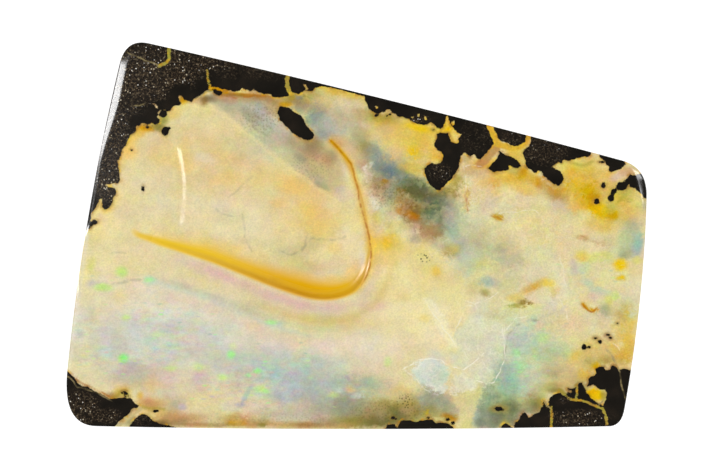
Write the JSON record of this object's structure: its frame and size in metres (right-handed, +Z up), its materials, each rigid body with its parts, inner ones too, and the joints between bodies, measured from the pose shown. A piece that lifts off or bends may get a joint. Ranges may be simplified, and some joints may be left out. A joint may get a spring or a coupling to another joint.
{
  "type": "polished boulder opal",
  "caption": "Flat four-sided piece of boulder opal lying on its ground back: dark ironstone rim, polished cream opal face and a shallow folded hollow.",
  "frame": {"origin": "on the flat back, below the middle of the stone's bounding box", "axes": "+Z up out of the polished face, +X along the long straight edge towards the shorter end, +Y from the long straight edge towards the slanting edge"},
  "size_m": [0.0378, 0.0252, 0.0065],
  "materials": {
    "opal_stone": "polished"
  },
  "bodies": {
    "root": {"opal_stone": "opal_stone"}
  },
  "joints": []
}
